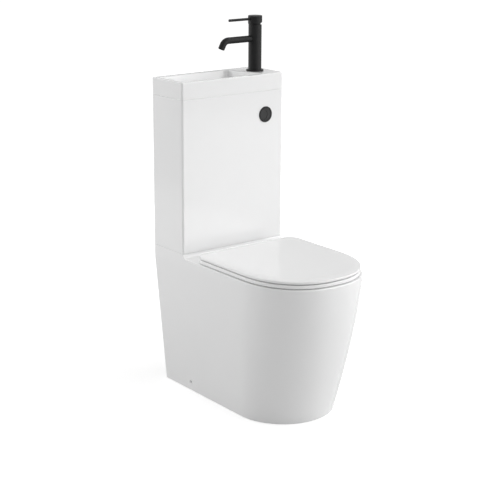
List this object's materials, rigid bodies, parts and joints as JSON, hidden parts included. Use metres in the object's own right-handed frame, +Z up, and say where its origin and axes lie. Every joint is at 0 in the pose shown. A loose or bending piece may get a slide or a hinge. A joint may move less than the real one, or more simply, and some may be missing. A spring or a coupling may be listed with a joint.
{
  "type": "toilet with a hand basin on the cistern",
  "caption": "Close coupled toilet with soft close seat and lid, dual flush, and a hand basin with a mixer tap on top of its tall cistern.",
  "frame": {"origin": "middle of the back at floor level: the wall plane meets the floor plane", "axes": "+X right as seen from the front, +Y back to the wall, +Z up; the front faces -Y"},
  "size_m": [0.367, 0.6198, 1.098],
  "materials": {
    "glaze": "gloss",
    "seat_plastic": "gloss",
    "black_paint": "matt",
    "black_plastic": "matt",
    "steel": "satin",
    "brass": "satin",
    "rubber": "matt",
    "white_plastic": "satin",
    "grey_plastic": "satin",
    "blue_plastic": "satin"
  },
  "bodies": {
    "toilet": {"pan": "glaze", "cistern": "glaze", "basin": "glaze", "coupling_seal": "rubber", "cistern_bolts": "steel", "cistern_bolt_seals": "rubber", "cistern_bolt_washers": "steel", "cistern_wing_nuts": "brass", "floor_brackets": "white_plastic", "side_screws": "steel", "hinge_posts": "steel", "hinge_pins": "steel", "hinge_bolts": "steel", "hinge_sleeves": "rubber", "hinge_wing_nuts": "white_plastic", "tap_body": "black_paint", "tap_base_ring": "black_paint", "tap_base_seal": "rubber", "tap_spout": "black_paint", "aerator": "grey_plastic", "cartridge": "white_plastic", "cartridge_nut": "brass", "tap_dome": "black_paint", "tap_stud": "steel", "tap_clamp_washer": "steel", "tap_clamp_nut": "brass", "basin_waste": "steel", "waste_seals": "rubber", "waste_nut": "brass", "waste_pipe": "grey_plastic", "fill_valve": "grey_plastic", "fill_valve_nut": "grey_plastic", "flush_valve": "grey_plastic", "flush_valve_nut": "grey_plastic", "tank_washers": "rubber", "button_bezel": "black_plastic", "button_bellows": "rubber", "button_lock_nut": "grey_plastic", "air_hoses": "grey_plastic"},
    "seat": {"seat": "seat_plastic", "seat_buffers": "rubber", "seat_damper": "grey_plastic"},
    "lid": {"lid": "seat_plastic", "lid_buffers": "rubber", "lid_damper": "grey_plastic"},
    "tap_spindle": {"cartridge_rotor": "grey_plastic"},
    "tap_handle": {"cartridge_stem": "steel", "tap_cap": "black_paint", "tap_lever": "black_paint", "tap_grub_screw": "steel"},
    "full_button": {"button_full": "black_plastic"},
    "half_button": {"button_half": "black_plastic"},
    "plunger": {"flush_plunger": "blue_plastic", "flush_seal": "rubber"},
    "float": {"fill_float": "white_plastic"},
    "float_lever": {"fill_lever": "blue_plastic"}
  },
  "joints": [
    {"name": "seat_hinge", "type": "hinge", "parent": "toilet", "child": "seat", "pos_m": [0, -0.19, 0.432], "axis": [-1, 0, 0], "range_deg": [0, 93]},
    {"name": "lid_hinge", "type": "hinge", "parent": "seat", "child": "lid", "pos_m": [0, -0.19, 0.432], "axis": [1, 0, 0], "range_deg": [-93, 0]},
    {"name": "tap_turn", "type": "hinge", "parent": "toilet", "child": "tap_spindle", "pos_m": [0.1306, -0.0771, 1.072], "axis": [0, 0, 1], "range_deg": [-50, 50]},
    {"name": "tap_lift", "type": "hinge", "parent": "tap_spindle", "child": "tap_handle", "pos_m": [0.1306, -0.0771, 1.072], "axis": [0, 1, 0], "range_deg": [0, 20]},
    {"name": "full_flush", "type": "slide", "parent": "toilet", "child": "full_button", "axis": [0, 1, 0], "range_m": [0, 0.006], "stiffness_N_per_m": 300, "springref_m": -0.004, "deforming": ["button_bellows"]},
    {"name": "half_flush", "type": "slide", "parent": "toilet", "child": "half_button", "axis": [0, 1, 0], "range_m": [0, 0.006], "stiffness_N_per_m": 300, "springref_m": -0.004, "deforming": ["button_bellows"]},
    {"name": "plunger_lift", "type": "slide", "parent": "toilet", "child": "plunger", "axis": [0, 0, 1], "range_m": [0, 0.012]},
    {"name": "float_slide", "type": "slide", "parent": "toilet", "child": "float", "axis": [0, 0, 1], "range_m": [0, 0.012]},
    {"name": "fill_lever_hinge", "type": "hinge", "parent": "toilet", "child": "float_lever", "pos_m": [-0.147, -0.075, 0.729], "axis": [0, -1, 0], "range_deg": [0, 18.2]}
  ],
  "couplings": [
    {"joint": "plunger_lift", "follows": "full_flush", "ratio": 2},
    {"joint": "fill_lever_hinge", "follows": "float_slide", "rad_per_m": 26.3}
  ]
}
